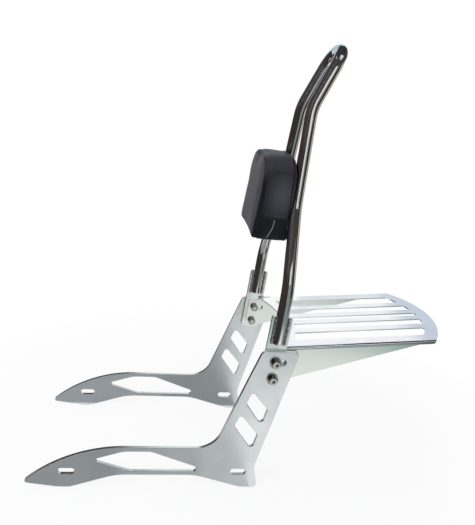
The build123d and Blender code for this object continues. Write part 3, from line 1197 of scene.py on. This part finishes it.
@dataclass
class Studio:
    """Pale floor, soft lamps, reflection flags and the camera."""

    center: Vector = Vector((0.05, 0.0, 0.0))
    ring: float = 0.78
    ring_step: float = 6.0
    floor_half: float = 8.0
    floor_paint: str = "#F4F4F4"
    floor_keep: float = 0.12
    floor_shine: float = 0.75
    shadow_reach: Span = (0.35, 0.75)
    surround: str = "#F2F4F7"
    ambient: float = 0.5
    eye: Vector = Vector((-147.34 * MM, -921.3 * MM, 629.9 * MM))
    yaw: float = math.radians(8.074)
    pitch: float = math.radians(16.262)
    roll: float = math.radians(-5.406)
    focal_px: float = 560.4
    sensor: float = 36.0
    clip: Span = (0.01, 100.0)
    aim: Vector = Vector((0.0, 0.0, 0.3))
    lamps: tuple[Lamp, ...] = (
        Lamp("key", (-1.5, -1.1, 1.9), size=1.4, power=26.0),
        Lamp("top", (0.3, 0.3, 2.3), size=1.6, power=9.0),
    )
    ring_flags: tuple[RingFlag, ...] = (
        RingFlag(Tone.BROWN, -160.0, 0.0, 0.0, 0.2),
        RingFlag(Tone.SLATE, 0.0, 45.0, 0.0, 0.2),
        RingFlag(Tone.MOSS, 45.0, 112.0, 0.0, 0.2),
        RingFlag(Tone.BROWN, -160.0, -5.0, 0.2, 0.75),
        RingFlag(Tone.SLATE, -5.0, 36.0, 0.2, 0.56),
        RingFlag(Tone.WHITE, -5.0, 18.0, 0.56, 0.75),
        RingFlag(Tone.SLATE, 18.0, 36.0, 0.56, 0.75),
        RingFlag(Tone.BROWN, 36.0, 80.0, 0.2, 0.75),
        RingFlag(Tone.CREAM, 80.0, 97.0, 0.2, 0.75),
        RingFlag(Tone.BROWN, 97.0, 112.0, 0.2, 0.75),
        RingFlag(Tone.SHADE, -160.0, -5.0, 0.75, 1.9),
        RingFlag(Tone.SHADE, -5.0, 25.0, 0.92, 1.9),
        RingFlag(Tone.SLATE, 25.0, 50.0, 0.75, 0.8),
        RingFlag(Tone.SHADE, 25.0, 50.0, 0.8, 1.25),
        RingFlag(Tone.SHADE, 50.0, 150.0, 0.75, 1.25),
        RingFlag(Tone.SKY, 150.0, 200.0, 0.72, 1.35),
    )
    wall_flags: tuple[WallFlag, ...] = (
        WallFlag(Tone.SHADE, (-0.2, -1.4), (0.8, -1.4), 1.32, 2.1),
        WallFlag(Tone.BLUE_GREY, (0.75, 0.55), (0.75, 1.49), 0.2, 0.81),
        WallFlag(Tone.MIST, (0.41, 1.5), (0.8, 1.5), 0.2, 0.865),
    )
    level_flags: tuple[LevelFlag, ...] = (
        LevelFlag(Tone.BROWN, (-1.2, -1.1), (-0.03, -0.36)),
        LevelFlag(Tone.GREY, (-0.7, -0.36), (-0.2, -0.125)),
        LevelFlag(Tone.PALE_GREY, (-0.2, -0.36), (-0.06, -0.125)),
        LevelFlag(Tone.SILVER, (-0.06, -0.36), (0.02, -0.125)),
        LevelFlag(Tone.MID_GREY, (-0.7, -0.125), (-0.13, 0.118)),
        LevelFlag(Tone.DEEP_GREY, (-0.13, -0.125), (0.025, 0.118)),
        LevelFlag(Tone.DARK, (-0.9, 0.25), (0.3, 1.6)),
        LevelFlag(Tone.SLATE, (0.5, -0.75), (1.2, 0.25)),
        LevelFlag(Tone.SLATE, (0.05, -0.8), (0.24, -0.73)),
        LevelFlag(Tone.DARK, (0.14, -0.2), (0.5, 0.12)),
        LevelFlag(Tone.DARK, (-0.5, -0.6), (0.25, -0.05), lift=1.7),
        LevelFlag(Tone.DARK, (-0.5, -0.05), (0.25, 1.4), lift=1.7),
        LevelFlag(Tone.DARK, (0.25, -0.38), (1.4, 2.4), lift=1.7),
    )

    def build(self) -> None:
        """Set the stage and the view."""
        self._floor()
        self._world()
        for lamp in self.lamps:
            self._light(lamp)
        self._hang_flags()
        self._camera()
        bpy.context.scene.view_settings.view_transform = "Standard"

    def _floor(self) -> None:
        """White floor that keeps a faint shadow near the object and shines in the metal."""
        build = bmesh.new()
        bmesh.ops.create_grid(build, x_segments=1, y_segments=1, size=self.floor_half)
        floor = mesh_object("studio_floor", build)
        made = empty_material("studio_floor")
        tree = made.node_tree
        path = add_node(tree, "ShaderNodeLightPath")
        lit = add_node(tree, "ShaderNodeBsdfDiffuse", {"Color": linear(self.floor_paint)})
        white = linear(Tone.WHITE.value)
        glow = add_node(tree, "ShaderNodeEmission", {"Color": white, "Strength": 1.0})
        place = add_node(tree, "ShaderNodeTexCoord").outputs["Object"]
        far = add_node(tree, "ShaderNodeVectorMath", {0: place}, operation="LENGTH")
        clear = add_node(
            tree,
            "ShaderNodeMapRange",
            {
                "Value": far.outputs["Value"],
                "From Min": self.shadow_reach[0],
                "From Max": self.shadow_reach[1],
                "To Min": 1.0 - self.floor_keep,
                "To Max": 1.0,
            },
        )
        seen = add_node(
            tree,
            "ShaderNodeMath",
            {0: path.outputs["Is Camera Ray"], 1: clear.outputs["Result"]},
            operation="MULTIPLY",
        )
        shine = add_node(
            tree,
            "ShaderNodeMath",
            {0: path.outputs["Is Glossy Ray"], 1: self.floor_shine},
            operation="MULTIPLY",
        )
        share = add_node(
            tree,
            "ShaderNodeMath",
            {0: seen.outputs[0], 1: shine.outputs[0]},
            operation="MAXIMUM",
        )
        mix = add_node(
            tree,
            "ShaderNodeMixShader",
            {0: share.outputs[0], 1: lit.outputs[0], 2: glow.outputs[0]},
        )
        add_node(tree, "ShaderNodeOutputMaterial", {"Surface": mix.outputs[0]})
        floor.data.materials.append(made)

    def _world(self) -> None:
        """White surround for the camera and for reflections, softer for shading."""
        world = bpy.data.worlds.new("studio")
        bpy.context.scene.world = world
        world.use_nodes = True
        tree = world.node_tree
        tree.nodes.clear()
        path = add_node(tree, "ShaderNodeLightPath")
        seen = add_node(
            tree,
            "ShaderNodeMath",
            {0: path.outputs["Is Camera Ray"], 1: path.outputs["Is Glossy Ray"]},
            operation="MAXIMUM",
        )
        through = add_node(
            tree,
            "ShaderNodeMath",
            {0: seen.outputs[0], 1: path.outputs["Is Transmission Ray"]},
            operation="MAXIMUM",
        )
        soft = add_node(
            tree,
            "ShaderNodeBackground",
            {"Color": linear(self.surround), "Strength": self.ambient},
        )
        white = linear(Tone.WHITE.value)
        clear = add_node(tree, "ShaderNodeBackground", {"Color": white, "Strength": 1.0})
        mix = add_node(
            tree,
            "ShaderNodeMixShader",
            {0: through.outputs[0], 1: soft.outputs[0], 2: clear.outputs[0]},
        )
        add_node(tree, "ShaderNodeOutputWorld", {"Surface": mix.outputs[0]})

    def _light(self, lamp: Lamp) -> None:
        """Add one lamp that faces the object.

        Args:
            lamp: its place, size and power.
        """
        data = bpy.data.lights.new(lamp.name, "AREA")
        data.size = lamp.size
        data.energy = lamp.power
        at = Vector(lamp.at)
        turn = (self.aim - at).to_track_quat("-Z", "Y").to_matrix().to_4x4()
        linked(lamp.name, data).matrix_world = Matrix.Translation(at) @ turn

    def _hang_flags(self) -> None:
        """Hang the flags that give the polished metal its dark and pale streaks."""
        for index, flag in enumerate(self.ring_flags):
            self._show_to_metal(self._curved(f"flag_{index}", flag), flag.tone)
        for index, flag in enumerate(self.wall_flags):
            self._show_to_metal(self._flat(f"wall_flag_{index}", flag), flag.tone)
        for index, flag in enumerate(self.level_flags):
            self._show_to_metal(self._level(f"floor_flag_{index}", flag), flag.tone)

    def _curved(self, name: str, flag: RingFlag) -> Piece:
        """Curved upright flag between two bearings.

        Args:
            name: name of the object.
            flag: its bearings and heights.

        Returns:
            The flag.
        """
        build = bmesh.new()
        low = Vector((0.0, -self.ring, flag.bottom))
        high = Vector((0.0, -self.ring, flag.top))
        ends = [bmesh.ops.create_vert(build, co=at)["vert"][0] for at in (low, high)]
        edge = build.edges.new(ends)
        first = Matrix.Rotation(math.radians(flag.start), 3, "Z")
        bmesh.ops.rotate(build, cent=(0, 0, 0), matrix=first, verts=build.verts)
        bmesh.ops.spin(
            build,
            geom=[*edge.verts, edge],
            cent=(0, 0, 0),
            axis=(0, 0, 1),
            angle=math.radians(flag.end - flag.start),
            steps=max(1, int((flag.end - flag.start) / self.ring_step)),
        )
        bmesh.ops.translate(build, vec=self.center, verts=build.verts)
        return mesh_object(name, build)

    def _flat(self, name: str, flag: WallFlag) -> Piece:
        """Flat upright flag between two places.

        Args:
            name: name of the object.
            flag: its places and heights.

        Returns:
            The flag.
        """
        build = bmesh.new()
        feet = [(*at, flag.bottom) for at in (flag.start, flag.end)]
        ends = [bmesh.ops.create_vert(build, co=at)["vert"][0] for at in feet]
        edge = build.edges.new(ends)
        grown = bmesh.ops.extrude_edge_only(build, edges=[edge])["geom"]
        tops = [part for part in grown if isinstance(part, bmesh.types.BMVert)]
        bmesh.ops.translate(build, vec=(0, 0, flag.top - flag.bottom), verts=tops)
        return mesh_object(name, build)

    def _level(self, name: str, flag: LevelFlag) -> Piece:
        """Level flag between two corners.

        Args:
            name: name of the object.
            flag: its corners and height.

        Returns:
            The flag.
        """
        build = bmesh.new()
        bmesh.ops.create_grid(build, x_segments=1, y_segments=1, size=0.5)
        low, high = Vector((*flag.low, 0.0)), Vector((*flag.high, 0.0))
        lift = Vector((0.0, 0.0, flag.lift))
        bmesh.ops.scale(build, vec=high - low, verts=build.verts)
        bmesh.ops.translate(build, vec=(high + low) / 2 + lift, verts=build.verts)
        return mesh_object(name, build)

    def _show_to_metal(self, card: Piece, tone: Tone) -> None:
        """Make a flag that only reflections see.

        Args:
            card: the flag.
            tone: its colour.
        """
        made = empty_material(f"flag_{tone.name.lower()}")
        tree = made.node_tree
        glow = add_node(tree, "ShaderNodeEmission", {"Color": linear(tone.value), "Strength": 1.0})
        add_node(tree, "ShaderNodeOutputMaterial", {"Surface": glow.outputs[0]})
        card.data.materials.append(made)
        card.visible_camera = card.visible_diffuse = card.visible_shadow = False
        card.visible_transmission = card.visible_volume_scatter = False

    def _camera(self) -> None:
        """Camera at the photograph's place, turn and field of view."""
        data = bpy.data.cameras.new("view")
        data.sensor_width = self.sensor
        data.lens = self.sensor * self.focal_px / max(IMAGE_SIZE)
        data.clip_start, data.clip_end = self.clip
        level = math.cos(self.pitch)
        forward = Vector(
            (math.sin(self.yaw) * level, math.cos(self.yaw) * level, -math.sin(self.pitch))
        )
        right = Vector((math.cos(self.yaw), -math.sin(self.yaw), 0.0))
        down = forward.cross(right)
        across = math.cos(self.roll) * right + math.sin(self.roll) * down
        below = -math.sin(self.roll) * right + math.cos(self.roll) * down
        turn = Matrix((across, -below, -forward)).transposed().to_4x4()
        camera = linked("view", data)
        camera.matrix_world = Matrix.Translation(self.eye) @ turn
        bpy.context.scene.camera = camera


def main() -> None:
    """Set the stage, dress the solids, and add the welded and the soft pieces."""
    logging.basicConfig(level=logging.INFO, format="%(name)s: %(message)s")
    Studio().build()
    Dressing().apply()
    for piece in TabWelds().build() + BackPad().build():
        LOG.info("%s: %d faces", piece.name, len(piece.data.polygons))


if __name__ == "__main__":
    main()
